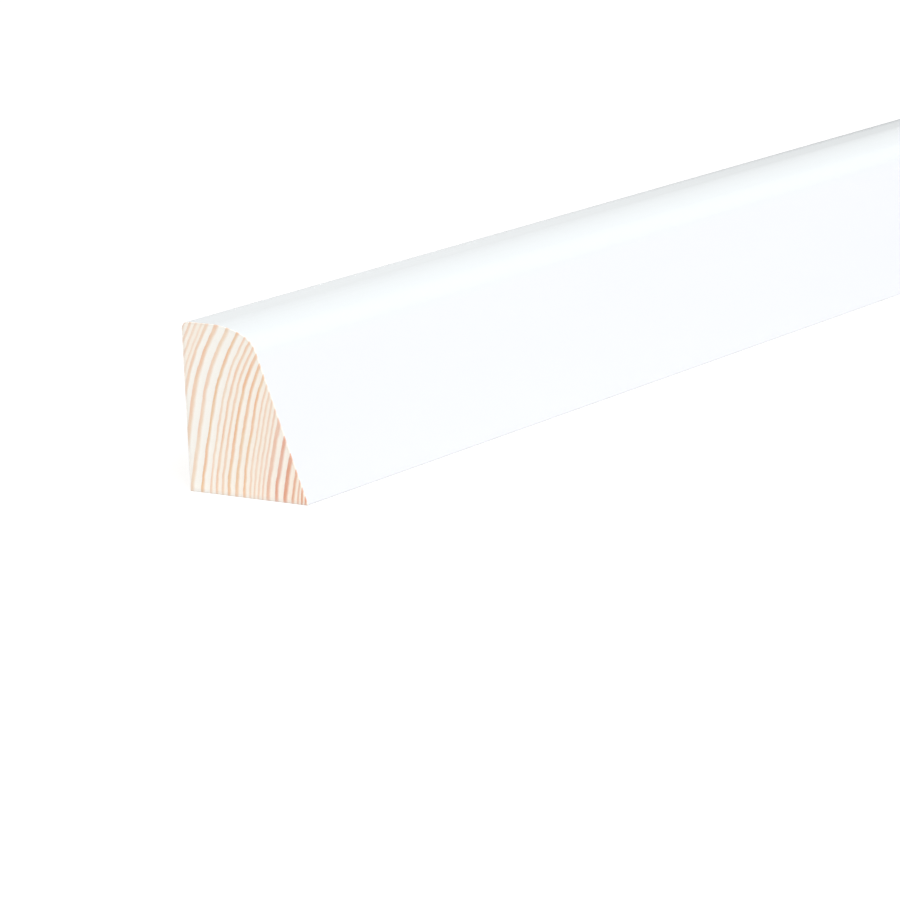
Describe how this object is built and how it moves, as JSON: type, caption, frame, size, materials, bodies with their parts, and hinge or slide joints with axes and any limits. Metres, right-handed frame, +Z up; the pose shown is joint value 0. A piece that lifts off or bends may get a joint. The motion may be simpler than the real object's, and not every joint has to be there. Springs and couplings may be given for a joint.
{
  "type": "cornice moulding",
  "caption": "Straight length of solid pine cornice moulding, wedge section with a rounded crown, that trims the corner between wall and ceiling.",
  "frame": {"origin": "centre of the length and of the section's width, at the underside of the base", "axes": "+X along the length, +Y out of the flat back, -Y towards the sloping moulded front, +Z up from the flat base to the crown"},
  "size_m": [2.4, 0.028, 0.033],
  "materials": {
    "painted_pine": "satin white paint on the moulded front and top, bare planed pine on the back, base and sawn ends"
  },
  "bodies": {
    "root": {"cornice_moulding": "painted_pine"}
  },
  "joints": []
}
